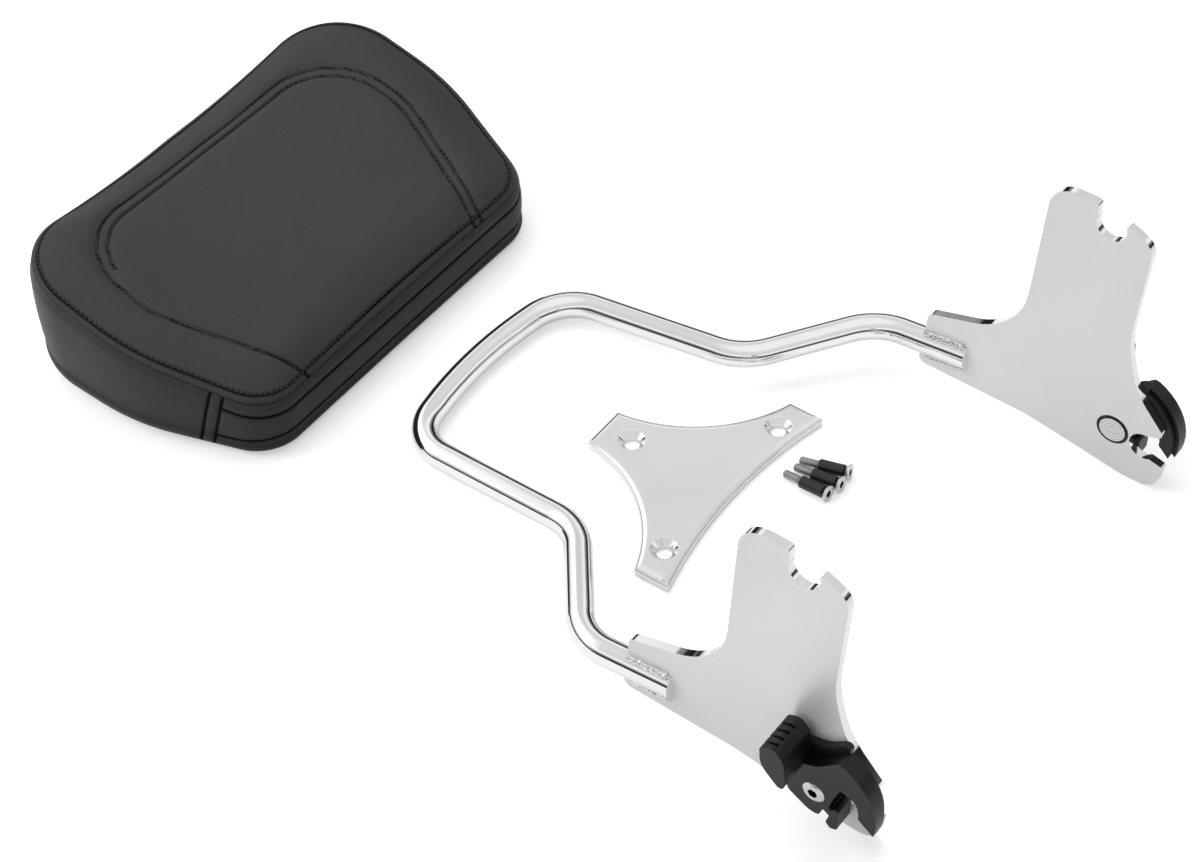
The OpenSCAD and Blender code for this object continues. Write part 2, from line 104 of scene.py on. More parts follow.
class Finish:
    """A material built up from terms."""

    def __init__(self, name):
        self.material = bpy.data.materials.new(name)
        self.material.use_nodes = True
        self.tree = self.material.node_tree
        self.tree.nodes.clear()
        self.output = self.tree.nodes.new("ShaderNodeOutputMaterial")

    def put(self, socket, value):
        if isinstance(value, Term):
            self.tree.links.new(value.socket, socket)
        elif isinstance(value, (tuple, list)) and len(value) == 3 and socket.type == "RGBA":
            socket.default_value = (*value, 1.0)
        else:
            socket.default_value = value

    def add(self, kind, settings=None, values=None, out=0):
        node = self.tree.nodes.new(kind)
        for key, value in (settings or {}).items():
            if key == "stops":
                ramp = node.color_ramp
                while len(ramp.elements) < len(value):
                    ramp.elements.new(0.5)
                for element, (place, colour) in zip(ramp.elements, value):
                    element.position = place
                    element.color = (*colour, 1.0)
            else:
                setattr(node, key, value)
        pairs = values.items() if isinstance(values, dict) else enumerate(values or [])
        for key, value in pairs:
            self.put(node.inputs[key], value)
        return Term(self, node.outputs[out])

    def place(self):
        return self.add("ShaderNodeTexCoord", out="Object")

    def noise(self, scale, detail=2.0, roughness=0.5, where=None):
        return self.add("ShaderNodeTexNoise", None, {
            "Vector": where or self.place(),
            "Scale": scale, "Detail": detail, "Roughness": roughness,
        })

    def cells(self, scale, feature, where):
        settings = {"feature": feature}
        return self.add("ShaderNodeTexVoronoi", settings, {"Vector": where, "Scale": scale})

    def attribute(self, name):
        return self.add("ShaderNodeAttribute", {"attribute_name": name}, out="Fac")

    def mix(self, factor, first, second):
        node = self.tree.nodes.new("ShaderNodeMix")
        node.data_type = "RGBA"
        self.put(node.inputs[0], factor)
        self.put(node.inputs[6], first)
        self.put(node.inputs[7], second)
        return Term(self, node.outputs[2])

    def bump(self, height, strength, distance):
        values = {"Height": height, "Strength": strength, "Distance": distance}
        return self.add("ShaderNodeBump", None, values)

    def principled(self, **values):
        """Principled shader; underscores in the names stand for spaces."""
        sockets = {key.replace("_", " "): value for key, value in values.items()}
        return self.add("ShaderNodeBsdfPrincipled", None, sockets)

    def finish(self, shader):
        self.tree.links.new(shader.socket, self.output.inputs["Surface"])
        return self.material

    def shade(self, **values):
        return self.finish(self.principled(**values))


# ---------------------------------------------------------------- finishes
def chrome_finish():
    f = Finish("polished_chrome")
    smears = f.noise(14.0, 3.0).step(0.42, 0.72)
    haze = f.noise(900.0, 2.0)
    flow = f.noise(26.0, 1.0) + 0.12 * haze
    return f.shade(
        Base_Color=f.mix(smears, (0.86, 0.865, 0.875), (0.82, 0.825, 0.84)),
        Metallic=1.0,
        Roughness=0.045 + 0.03 * smears + 0.02 * haze,
        Normal=f.bump(flow, 0.02, 0.002),
    )


def plate_finish(name, rough, ripple, metallic):
    """Chrome on flat plate, hazed by polishing, so that it mirrors softly."""
    f = Finish(name)
    smears = f.noise(9.0, 3.0).step(0.38, 0.72)
    haze = f.noise(700.0, 2.0)
    wave = f.noise(12.0, 2.0)
    return f.shade(
        Base_Color=f.mix(smears, (0.91, 0.912, 0.918), (0.86, 0.863, 0.87)),
        Metallic=metallic,
        Roughness=rough + 0.05 * smears + 0.04 * haze,
        Normal=f.bump(wave + 0.05 * haze, ripple, 0.002),
    )


def bead_finish():
    f = Finish("weld_chrome")
    grit = f.noise(420.0, 3.0)
    ripple = f.noise(160.0, 2.0)
    return f.shade(
        Base_Color=f.mix(grit, (0.80, 0.81, 0.83), (0.56, 0.57, 0.59)),
        Metallic=1.0,
        Roughness=0.08 + 0.08 * grit,
        Normal=f.bump(ripple + 0.4 * grit, 0.8, 0.002),
    )


def steel_finish():
    f = Finish("zinc_steel")
    grain = f.noise(700.0, 3.0)
    cloud = f.noise(90.0, 2.0)
    return f.shade(
        Base_Color=f.mix(cloud, (0.62, 0.63, 0.65), (0.74, 0.75, 0.77)),
        Metallic=1.0,
        Roughness=0.20 + 0.14 * grain,
        Normal=f.bump(grain, 0.08, 0.0004),
    )


def thread_steel_finish():
    """Bright steel; at the bottom of the thread its colour is darkened as painted shade in the
    grooves, and it is rougher there.
    """
    f = Finish("threaded_steel")
    root = f.attribute("thread_root")
    grain = f.noise(900.0, 2.0)
    # The darker colour at the thread's root is painted shade, not a different metal
    return f.shade(
        Base_Color=f.mix(root, (0.66, 0.665, 0.67), (0.20, 0.205, 0.21)),
        Metallic=1.0,
        Roughness=0.16 + 0.10 * grain + 0.15 * root,
        Normal=f.bump(grain, 0.1, 0.0005),
    )


def socket_shade_finish():
    # Near-black steel for the inside of a screw's socket: painted shade in the recess
    f = Finish("shaded_socket")
    grain = f.noise(1500.0, 2.0)
    return f.shade(
        Base_Color=f.mix(grain, (0.03, 0.03, 0.032), (0.07, 0.07, 0.072)),
        Metallic=1.0,
        Roughness=0.35 + 0.1 * grain,
    )


def coat_finish():
    f = Finish("satin_black_coat")
    pebble = f.noise(1400.0, 2.0)
    wave = f.noise(60.0, 2.0)
    scuff = f.noise(220.0, 4.0, 0.7).step(0.60, 0.78)
    return f.shade(
        Base_Color=f.mix(scuff, (0.008, 0.008, 0.0085), (0.020, 0.020, 0.021)),
        Roughness=0.34 + 0.10 * pebble + 0.08 * scuff,
        Specular_IOR_Level=0.36,
        Normal=f.bump(pebble + 0.6 * wave, 0.16, 0.0006),
    )


def plastic_finish():
    f = Finish("black_sleeve_plastic")
    grain = f.noise(1600.0, 2.0)
    cloud = f.noise(120.0, 2.0)
    return f.shade(
        Base_Color=f.mix(cloud, (0.006, 0.006, 0.0065), (0.012, 0.012, 0.0125)),
        Roughness=0.30 + 0.10 * grain,
        Normal=f.bump(grain, 0.12, 0.0004),
    )


def board_finish():
    f = Finish("pressed_board")
    fibre = f.noise(500.0, 5.0, 0.7)
    return f.shade(
        Base_Color=f.mix(fibre, (0.02, 0.02, 0.02), (0.05, 0.05, 0.05)),
        Roughness=0.7 + 0.2 * fibre,
        Normal=f.bump(fibre, 0.3, 0.0006),
    )


def vinyl_finish():
    f = Finish("black_grained_vinyl")
    where = f.place()
    grain = f.cells(1150.0, "DISTANCE_TO_EDGE", where).step(0.0, 0.22)
    pores = f.noise(2600.0, 2.0, 0.5, where)
    creases = f.noise(70.0, 4.0, 0.55, where)
    wear = f.noise(11.0, 3.0, 0.5, where)
    # The boxing's joint is two rows either side of a band; ahead of it run two more lines
    joint = f.attribute("boxing_joint")
    behind = 1.0 - joint.step(0.002, 0.003)
    rows = abs(abs(joint) - JOINT_HALF * MM)
    upper = abs(f.attribute("boxing_upper")) + FAR * MM * behind
    lower = abs(f.attribute("boxing_lower")) + FAR * MM * behind
    near = f.attribute("seam_line").least(rows).least(upper).least(lower)
    # seam marks the stitched lines; it raises their relief and also paints shade along them
    seam = near.step(0.0002, 0.0017)
    height = 0.55 * grain + 0.25 * pores + 0.5 * creases + 2.6 * seam
    dark = f.mix(wear, (0.036, 0.036, 0.0375), (0.050, 0.050, 0.052))
    relief = f.bump(height, 0.42, 0.0006)
    cover = f.principled(
        Base_Color=dark,
        Roughness=0.40 + 0.10 * pores + 0.07 * wear - 0.05 * grain,
        Specular_IOR_Level=0.24,
        Normal=relief,
    )
    # Along the seams the cover turns near-black and dull: painted shade in the stitched creases
    painted_seam_shade = f.principled(
        Base_Color=f.mix(wear, (0.003, 0.003, 0.003), (0.005, 0.005, 0.005)),
        Roughness=0.8 + 0.1 * pores,
        Specular_IOR_Level=0.05,
        Normal=relief,
    )
    return f.finish(f.add("ShaderNodeMixShader", None, [seam, painted_seam_shade, cover]))


def thread_finish():
    f = Finish("black_sewing_thread")
    twist = f.noise(2400.0, 2.0)
    return f.shade(
        Base_Color=f.mix(twist, (0.012, 0.012, 0.012), (0.05, 0.05, 0.052)),
        Roughness=0.55 + 0.2 * twist,
        Normal=f.bump(twist, 0.3, 0.0003),
    )


chrome = chrome_finish()
plate_chrome = plate_finish("plate_chrome", 0.42, 0.02, 0.5)
bracket_chrome = plate_finish("bracket_chrome", 0.10, 0.05, 1.0)
thread_steel = thread_steel_finish()
bead_chrome = bead_finish()
socket_painted_shade = socket_shade_finish()
steel = steel_finish()
black_coat = coat_finish()
black_plastic = plastic_finish()
vinyl = vinyl_finish()
board = board_finish()
thread = thread_finish()

for name, node in nodes.items():
    if name.startswith("tube_weld"):
        finish = bead_chrome
    elif name.startswith(("hoop", "docking", "mounting", "pivot_screw")):
        finish = chrome
    elif name.startswith(("latch_lever", "latch_back")):
        finish = black_coat
    elif name.startswith(("screw_sleeve", "pivot_bush")):
        finish = black_plastic
    elif name.startswith("pad_base"):
        finish = board
    elif name.startswith("pad_cushion"):
        finish = vinyl
    else:
        finish = steel
    node.data.materials.clear()
    node.data.materials.append(finish)


# ---------------------------------------------------------------- shaping helpers
def piece_from(bm, name, finish, body, sharp=35.0):
    """Makes a bmesh into a smooth-shaded piece that rides on a body."""
    mesh = bpy.data.meshes.new(name)
    bmesh.ops.recalc_face_normals(bm, faces=bm.faces)
    bm.to_mesh(mesh)
    bm.free()
    mesh.materials.append(finish)
    mesh.shade_smooth()
    mesh.set_sharp_from_angle(angle=math.radians(sharp))
    piece = bpy.data.objects.new(name, mesh)
    bpy.context.scene.collection.objects.link(piece)
    if body:
        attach(piece, body)
    return piece


def push_ring(bm, ordered, edges, spots):
    """Extrudes a closed ring of edges and puts the new ring's points at spots, in order."""
    made = bmesh.ops.extrude_edge_only(bm, edges=edges)["geom"]
    fresh = {g for g in made if isinstance(g, bmesh.types.BMVert)}
    edges = [g for g in made if isinstance(g, bmesh.types.BMEdge) and fresh.issuperset(g.verts)]
    follow = []
    for vert in ordered:
        others = (e.other_vert(vert) for e in vert.link_edges)
        follow.append(next(other for other in others if other in fresh))
    for vert, spot in zip(follow, spots):
        vert.co = spot[:3]
    return follow, edges


def node_bmesh(node_name):
    """A copy of a CAD node's mesh with its double points merged."""
    bm = bmesh.new()
    bm.from_mesh(nodes[node_name].data)
    bmesh.ops.remove_doubles(bm, verts=bm.verts, dist=2e-6)
    return bm


def rounded_node(node_name, width, finish, body, splits, segments=2, sharp=30.0):
    """A copy of a node whose sharp edges are rounded over.

    splits are planes through its holes, so that no flat face has to run round a whole hole.
    """
    bm = node_bmesh(node_name)
    for point, normal in splits:
        everything = bm.verts[:] + bm.edges[:] + bm.faces[:]
        cut = bmesh.ops.bisect_plane(
            bm, geom=everything, dist=1e-6, plane_co=point, plane_no=normal
        )["geom_cut"]
        for edge in cut:
            if isinstance(edge, bmesh.types.BMEdge):
                edge.seam = True
    bmesh.ops.dissolve_limit(
        bm, angle_limit=math.radians(0.4), use_dissolve_boundaries=False,
        verts=bm.verts, edges=bm.edges, delimit={"SEAM"},
    )
    least = math.radians(sharp)
    edges = [e for e in bm.edges if len(e.link_faces) == 2 and e.calc_face_angle() > least]
    bmesh.ops.bevel(
        bm, geom=edges, offset=width, offset_type="OFFSET", segments=segments,
        profile=0.5, affect="EDGES", clamp_overlap=True, material=-1,
    )
    piece = piece_from(bm, node_name + "_dressed", finish, body)
    piece.modifiers.new("edge_normals", "WEIGHTED_NORMAL").keep_sharp = True
    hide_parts(node_name)
    return piece


def corner_arc(p, a, b, r, step):
    """Points of the arc that rounds corner p between neighbours a and b."""
    u, w = (a - p).normalized(), (b - p).normalized()
    angle = math.acos(max(-1, min(1, u.dot(w))))
    centre = p + (u + w).normalized() * (r / math.sin(angle / 2))
    start = p + u * (r / math.tan(angle / 2)) - centre
    sweep = math.pi - angle
    sign = 1 if start.cross(p - centre) > 0 else -1
    count = max(2, math.ceil(math.degrees(sweep) / step))
    return [centre + Matrix.Rotation(sign * sweep * k / count, 2) @ start for k in range(count + 1)]


def rounded_outline(corners, step, closed=True):
    points = []
    n = len(corners)
    for i, (x, y, r) in enumerate(corners):
        p = Vector((x, y))
        if r <= 0 or (not closed and i in (0, n - 1)):
            points.append(p)
            continue
        before, after = corners[i - 1], corners[(i + 1) % n]
        points += corner_arc(p, Vector(before[:2]), Vector(after[:2]), r, step)
    return points


def even(points, pitch, closed=True):
    """The same line with its points about one pitch apart."""
    line = points + points[:1] if closed else points
    lengths = [0.0]
    for a, b in zip(line, line[1:]):
        lengths.append(lengths[-1] + (b - a).length)
    count = max(2, round(lengths[-1] / pitch))
    result, j = [], 0
    for k in range(count if closed else count + 1):
        s = lengths[-1] * k / count
        while j < len(lengths) - 2 and lengths[j + 1] < s:
            j += 1
        span = lengths[j + 1] - lengths[j] or 1.0
        result.append(line[j].lerp(line[j + 1], (s - lengths[j]) / span))
    return result


# ---------------------------------------------------------------- hoop
BAR_W, TUBE_R, PLATE_T = 290.8, 7.95, 4.8
STUB_L, JOG_L, JOG_IN, LEG_L, LEG_IN = 57.5, 50.0, 64.5, 122.0, 7.5
CROWN_RISE, JOG_R, CROWN_BEND = 13.5, 36.0, 31.0
HOOP_SLOPE, BAR_TILT = math.radians(7.49), math.radians(1.68631)
BAR_AT = Vector((169.41, -BAR_W / 2, 32.2725))


def hoop_frame():
    """From the hoop's flat path to its place on the floor."""
    slope = Matrix.Rotation(math.pi - HOOP_SLOPE, 4, "Y") @ Matrix.Scale(-1, 4, (0, 0, 1))
    tilt = Matrix.Rotation(BAR_TILT, 4, "Y")
    return Matrix.Scale(MM, 4) @ Matrix.Translation(BAR_AT) @ tilt @ slope


def hoop_path():
    flat = math.cos(HOOP_SLOPE)
    mid = PLATE_T / 2
    half = [
        Vector((-2.0 / flat, mid)),
        Vector((STUB_L / flat, mid)),
        Vector(((STUB_L + JOG_L) / flat, mid + JOG_IN)),
        Vector(((STUB_L + JOG_L + LEG_L) / flat, mid + JOG_IN + LEG_IN)),
    ]
    span = BAR_W / 2 - half[3].y
    turn = math.atan2(CROWN_RISE, span)
    corner = math.pi / 2 - math.atan2(LEG_IN, LEG_L) - turn
    side = math.hypot(CROWN_RISE, span)
    crown_r = (side - CROWN_BEND * math.tan(corner / 2) - 1) / math.tan(turn)
    path = half + [Vector((half[3].x + CROWN_RISE, BAR_W / 2))]
    path += [Vector((p.x, BAR_W - p.y)) for p in reversed(half)]
    return path, [0, JOG_R, JOG_R, CROWN_BEND, crown_r, CROWN_BEND, JOG_R, JOG_R, 0]


def build_hoop():
    """A ring of edges is pushed along each straight run and spun through each bend."""
    path, radii = hoop_path()
    bm = bmesh.new()
    start = (path[1] - path[0]).normalized()
    heading = Matrix.Rotation(math.atan2(start.y, start.x), 4, "Z")
    facing = heading @ Matrix.Rotation(math.pi / 2, 4, "Y")
    bmesh.ops.create_circle(
        bm, cap_ends=True, segments=64, radius=TUBE_R,
        matrix=Matrix.Translation((path[0].x, path[0].y, 0)) @ facing,
    )
    edges = list(bm.edges)
    here = path[0]
    for i in range(1, len(path)):
        way = (path[i] - path[i - 1]).normalized()
        last = i == len(path) - 1
        if not last:
            onward = (path[i + 1] - path[i]).normalized()
            turn = math.atan2(way.cross(onward), way.dot(onward))
            trim = radii[i] * math.tan(abs(turn) / 2)
        else:
            turn, trim = 0.0, 0.0
        stop = path[i] - way * trim
        made = bmesh.ops.extrude_edge_only(bm, edges=edges)["geom"]
        fresh = [g for g in made if isinstance(g, bmesh.types.BMVert)]
        move = stop - here
        bmesh.ops.translate(bm, verts=fresh, vec=(move.x, move.y, 0))
        edges = [g for g in made if isinstance(g, bmesh.types.BMEdge)]
        here = stop
        if not last:
            side = 1 if turn > 0 else -1
            centre = stop + side * radii[i] * Vector((-way.y, way.x))
            steps = max(6, round(abs(math.degrees(turn)) / 2.5))
            spun = bmesh.ops.spin(
                bm, geom=edges, cent=(centre.x, centre.y, 0), axis=(0, 0, 1),
                dvec=(0, 0, 0), angle=turn, steps=steps, use_merge=False, use_duplicate=False,
            )["geom_last"]
            edges = [g for g in spun if isinstance(g, bmesh.types.BMEdge)]
            here = path[i] + onward * trim
    bmesh.ops.contextual_create(bm, geom=edges)
    bmesh.ops.remove_doubles(bm, verts=bm.verts, dist=1e-4)
    bmesh.ops.transform(bm, matrix=hoop_frame(), verts=bm.verts)
    hoop = piece_from(bm, "hoop_tube_dressed", chrome, "bar")
    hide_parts("hoop_tube")


build_hoop()


# ---------------------------------------------------------------- welds, screws and latches
WELD_LUMP, LONG_EDGE, COARSE_LUMPS, FINE_LUMPS = 0.42 * MM, 1.2 * MM, 330.0, 900.0
# How far the edges of each kind of piece are rounded over, in metres
PLATE_ROUND, LEVER_ROUND, BACK_ROUND, SLEEVE_ROUND, SCREW_ROUND = (
    0.0006, 0.0006, 0.0004, 0.0003, 0.00025,
)
SIDES = (("left", -1), ("right", 1))
PIVOT_SPLIT = [(Vector((263.799, 0, 30.494)) * MM, Vector((1, 0, 0)))]
# Where each mounting screw's head stands on the floor, and which way it points
SCREW_PLACES = [(152.4, 52, 12), (153.4, 41.5, 3), (151.4, 31.5, -2)]
SCREW_HEAD_R, HEAD_RIM, HEAD_T, SLEEVE_R, SLEEVE_L = 5.0, 0.8, 3.4, 3.6, 15.0
THREAD_R, THREAD_PITCH, THREAD_DEPTH = 2.6 * MM, 1.15 * MM, 0.42 * MM
THREAD_FROM, THREAD_END, THREAD_TIP = 17.0 * MM, 30.0 * MM, 1.0 * MM
RINGS_A_TURN, TIP_TAPER, CREST, FLANK = 14, 0.7, 0.14, 0.68
SOCKET_LIP, SOCKET_DEEPEST = 0.4 * MM, 6.0 * MM
MOUNT_SOCKET_REACH, PIVOT_SOCKET_REACH = 0.00245, 0.0036


def lumpy_weld(node_name):
    """A copy of a weld bead, roughened as a hand-laid one is."""
    bm = node_bmesh(node_name)
    long_edges = [e for e in bm.edges if e.calc_length() > LONG_EDGE]
    bmesh.ops.subdivide_edges(bm, edges=long_edges, cuts=1)
    bm.normal_update()
    for vert in bm.verts:
        lump = noise.noise(vert.co * COARSE_LUMPS) + 0.5 * noise.noise(vert.co * FINE_LUMPS)
        vert.co += vert.normal * lump * WELD_LUMP
    piece = piece_from(bm, node_name + "_dressed", bead_chrome, "bar", sharp=60.0)
    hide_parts(node_name)


def shade_socket(piece, head, way, reach):
    """Paints shade on the faces inside a screw's socket with a near-black material; way points from
    the head inwards.
    """
    piece.data.materials.append(socket_painted_shade)
    for polygon in piece.data.polygons:
        arm = polygon.center - head
        depth = arm.dot(way)
        if SOCKET_LIP < depth < SOCKET_DEEPEST and (arm - way * depth).length < reach:
            polygon.material_index = 1


def thread_share(turns):
    """How deep the thread is cut at a number of turns, from 0 at its crest to 1 at its root."""
    return min(1.0, max(0.0, (abs(2 * (turns % 1.0) - 1) - CREST) / FLANK))


def cut_thread(piece, foot, facing):
    """Gives the plain shank of a screw a cut thread."""
    u, v, way = (facing @ Vector(axis) for axis in ((1, 0, 0), (0, 1, 0), (0, 0, 1)))
    bm = bmesh.new()
    bm.from_mesh(piece.data)
    root = bm.verts.layers.float.new("thread_root")
    bmesh.ops.bisect_plane(
        bm, geom=bm.verts[:] + bm.edges[:] + bm.faces[:], dist=1e-7,
        plane_co=foot + way * THREAD_FROM, plane_no=way, clear_outer=True,
    )
    edges = [e for e in bm.edges if e.is_boundary]
    edge = edges[0]
    ordered, at = [edge.verts[0]], edge.verts[1]
    while at != ordered[0]:
        ordered.append(at)
        edge = next(e for e in at.link_edges if e.is_boundary and e != edge)
        at = edge.other_vert(at)
    angles = [math.atan2((p.co - foot).dot(v), (p.co - foot).dot(u)) for p in ordered]
    steps = round((THREAD_END - THREAD_FROM) / THREAD_PITCH * RINGS_A_TURN)
    for k in range(1, steps + 1):
        z = THREAD_FROM + (THREAD_END - THREAD_FROM) * k / steps
        start = min(1.0, (z - THREAD_FROM) / THREAD_PITCH)
        tip = THREAD_R - TIP_TAPER * max(0.0, z - THREAD_END + THREAD_TIP)
        shares = [start * thread_share(z / THREAD_PITCH - a / (2 * math.pi)) for a in angles]
        spots = []
        for a, share in zip(angles, shares):
            r = min(THREAD_R - THREAD_DEPTH * share, tip)
            spots.append(foot + way * z + (u * math.cos(a) + v * math.sin(a)) * r)
        ordered, edges = push_ring(bm, ordered, edges, spots)
        # The depth share is kept on the points; the finish uses it to paint shade at the thread's
        # root
        for vert, share in zip(ordered, shares):
            vert[root] = share
    bm.faces.new(ordered)
    bmesh.ops.recalc_face_normals(bm, faces=bm.faces)
    bm.to_mesh(piece.data)
    bm.free()
    piece.data.shade_smooth()
    piece.data.set_sharp_from_angle(angle=math.radians(30))


def dress_screws():
    lean = math.atan2(SCREW_HEAD_R - SLEEVE_R, HEAD_T + SLEEVE_L - HEAD_RIM)
    height = SCREW_HEAD_R * math.cos(lean) + HEAD_RIM * math.sin(lean)
    for i, (x, y, turn) in enumerate(SCREW_PLACES):
        lying = Matrix.Rotation(-math.pi / 2 - lean, 3, "Y")
        facing = Matrix.Rotation(math.radians(turn), 3, "Z") @ lying
        foot = Vector((x, y, height)) * MM
        split = [(foot, facing @ Vector((0, 1, 0)))]
        name = "mount_screw_%d" % (i + 1)
        screw = rounded_node(name, SCREW_ROUND, thread_steel, "bar", split, sharp=25.0)
        cut_thread(screw, foot, facing)
        shade_socket(screw, foot, facing @ Vector((0, 0, 1)), MOUNT_SOCKET_REACH)
        name = "screw_sleeve_%d" % (i + 1)
        rounded_node(name, SLEEVE_ROUND, black_plastic, "bar", split)


dress_screws()


def dress_pivot_screws():
    for side, out in SIDES:
        name = "pivot_screw_" + side
        piece = rounded_node(name, SCREW_ROUND, steel, "bar", PIVOT_SPLIT, sharp=25.0)
        low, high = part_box(name)
        face = low[1] if out < 0 else high[1]
        head = Vector(((low[0] + high[0]) / 2, face, (low[2] + high[2]) / 2))
        shade_socket(piece, head, Vector((0, -out, 0)), PIVOT_SOCKET_REACH)


dress_pivot_screws()


def dress_springs():
    """Each coil spring is copied as a smooth-shaded piece in place, on no body."""
    for side, out in SIDES:
        name = "latch_spring_" + side
        piece = piece_from(node_bmesh(name), name + "_dressed", steel, None)
        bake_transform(piece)
        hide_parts(name)


dress_springs()

for side, _ in SIDES:
    lumpy_weld("tube_weld_" + side)
    name, lever = "docking_plate_" + side, "lever_" + side
    plate = rounded_node(name, PLATE_ROUND, plate_chrome, "bar", PIVOT_SPLIT, 3)
    # The cut edge is polished brighter than the faces
    plate.data.materials.append(chrome)
    for polygon in plate.data.polygons:
        if abs(polygon.normal.y) < 0.98:
            polygon.material_index = 1
    rounded_node("latch_" + lever, LEVER_ROUND, black_coat, lever, PIVOT_SPLIT)
    rounded_node("latch_back_" + side, BACK_ROUND, black_coat, lever, PIVOT_SPLIT)


# ---------------------------------------------------------------- mounting plate
BRACKET_AT = Vector((100.41, 2.3))
BRACKET_T, ROLL_DROP, ROLL_REACH, CORNER_R = 6.0, 2.6, 5.0, 1.5
WING_PITCH, TAIL_PITCH, ARM_END_W, ARM_END_L = 111.0, 61.5, 29.0, 20.5
WING_FORE, WING_AFT, SINK_R, BORE_R = 17.5, 5.5, 7.8, 4.6
AFT_SAG, FORE_SAG, FOOT_BREAK = 14.5, 10, 0.35
HOLE_STEPS, CORNER_STEPS, ROLL_STEPS, AFT_STEPS, FORE_STEPS = 64, 6, 10, 36, 60


def bowed(a, b, sag, steps):
    """Points along the shallow arc from a to b."""
    a, b = Vector(a), Vector(b)
    chord = (b - a).length
    radius = (chord * chord / 4 + sag * sag) / (2 * sag)
    side = Vector((a.y - b.y, b.x - a.x)).normalized()
    centre = (a + b) / 2 + side * (radius - sag)
    half = math.asin(chord / 2 / radius)
    turns = [2 * half * k / steps for k in range(steps + 1)]
    return [centre + Matrix.Rotation(turn, 2) @ (a - centre) for turn in turns]


def bracket_ring(inset, height):
    """The plate's outline, set in by a distance; its corners keep what is left of their radius."""
    tail = (-TAIL_PITCH - ARM_END_L, ARM_END_W / 2)
    wing = (-WING_AFT, WING_PITCH / 2 + ARM_END_L)
    fore = (WING_FORE, WING_PITCH / 2 + ARM_END_L)
    sides = [
        bowed(tail, wing, AFT_SAG, AFT_STEPS),
        bowed(fore, (fore[0], -fore[1]), FORE_SAG, FORE_STEPS),
        bowed((wing[0], -wing[1]), (tail[0], -tail[1]), AFT_SAG, AFT_STEPS),
    ]
    line = [p for side in sides for p in side]
    corners = {i for side in sides for i in (line.index(side[0]), line.index(side[-1]))}
    n = len(line)
    area = sum(line[i - 1].cross(line[i]) for i in range(n))
    inward = 1 if area > 0 else -1
    moved = []
    for i, p in enumerate(line):
        before, after = (p - line[i - 1]).normalized(), (line[(i + 1) % n] - p).normalized()
        u = inward * Vector((-before.y, before.x))
        w = inward * Vector((-after.y, after.x))
        moved.append(p + (u + w) * (inset / (1 + u.dot(w))))
    spots = []
    for i, p in enumerate(moved):
        if i in corners:
            arc = corner_arc(p, moved[i - 1], moved[(i + 1) % n], max(0.03, CORNER_R - inset), 12)
            arc = even(arc, (arc[-1] - arc[0]).length / CORNER_STEPS, closed=False)
            spots += [arc[min(k, len(arc) - 1)] for k in range(CORNER_STEPS + 1)]
        else:
            spots.append(p)
    return [(BRACKET_AT.x + p.x, BRACKET_AT.y + p.y, height) for p in spots]


def hole_ring(centre, radius, height):
    spots = []
    for k in range(HOLE_STEPS):
        turn = 2 * math.pi * k / HOLE_STEPS
        x, y = centre.x + radius * math.cos(turn), centre.y + radius * math.sin(turn)
        spots.append((x, y, height))
    return spots


def loop_of(bm, spots):
    """A closed ring of vertices and its edges."""
    ordered = [bm.verts.new(spot) for spot in spots]
    return ordered, [bm.edges.new(pair) for pair in zip(ordered, ordered[1:] + ordered[:1])]


def build_bracket():
    """Side wall and rolled upper edge, then the holes, then both flat faces between them."""
    bm = bmesh.new()
    ordered, edges = loop_of(bm, bracket_ring(FOOT_BREAK, 0.0))
    feet = list(edges)
    shoulder = BRACKET_T - ROLL_DROP
    rings = [(0.10, 0.10), (0.0, FOOT_BREAK), (0.0, shoulder)]
    for k in range(1, ROLL_STEPS + 1):
        a = math.pi / 2 * k / ROLL_STEPS
        rings.append((ROLL_REACH * (1 - math.cos(a)), shoulder + ROLL_DROP * math.sin(a)))
    for inset, height in rings:
        ordered, edges = push_ring(bm, ordered, edges, bracket_ring(inset, height))
    tops = list(edges)
    neck = BRACKET_T - (SINK_R - BORE_R)
    # Radius and height down a countersunk hole, its rims broken
    profile = [
        (SINK_R + 0.28, BRACKET_T), (SINK_R + 0.1, BRACKET_T - 0.05),
        (SINK_R - 0.1, BRACKET_T - 0.18), (BORE_R + 0.15, neck + 0.12),
        (BORE_R + 0.03, neck - 0.02), (BORE_R, neck - 0.2),
        (BORE_R, FOOT_BREAK), (BORE_R + 0.1, 0.1), (BORE_R + FOOT_BREAK, 0.0),
    ]
    for x, y in ((-TAIL_PITCH, 0), (0, WING_PITCH / 2), (0, -WING_PITCH / 2)):
        centre = BRACKET_AT + Vector((x, y))
        ordered, edges = loop_of(bm, hole_ring(centre, *profile[0]))
        tops += edges
        for step in profile[1:]:
            ordered, edges = push_ring(bm, ordered, edges, hole_ring(centre, *step))
        feet += edges
    for loop in (tops, feet):
        bmesh.ops.triangle_fill(bm, use_beauty=True, use_dissolve=False, edges=loop)
    bmesh.ops.remove_doubles(bm, verts=bm.verts, dist=0.004)
    bmesh.ops.scale(bm, vec=(MM, MM, MM), verts=bm.verts)
    plate = piece_from(bm, "mounting_plate_dressed", bracket_chrome, "bar")
    # The rolled edge and the countersinks are polished to a mirror
    plate.data.materials.append(chrome)
    for polygon in plate.data.polygons:
        if polygon.normal.z < 0.99:
            polygon.material_index = 1
    plate.modifiers.new("edge_normals", "WEIGHTED_NORMAL").keep_sharp = True
    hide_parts("mounting_plate")


build_bracket()


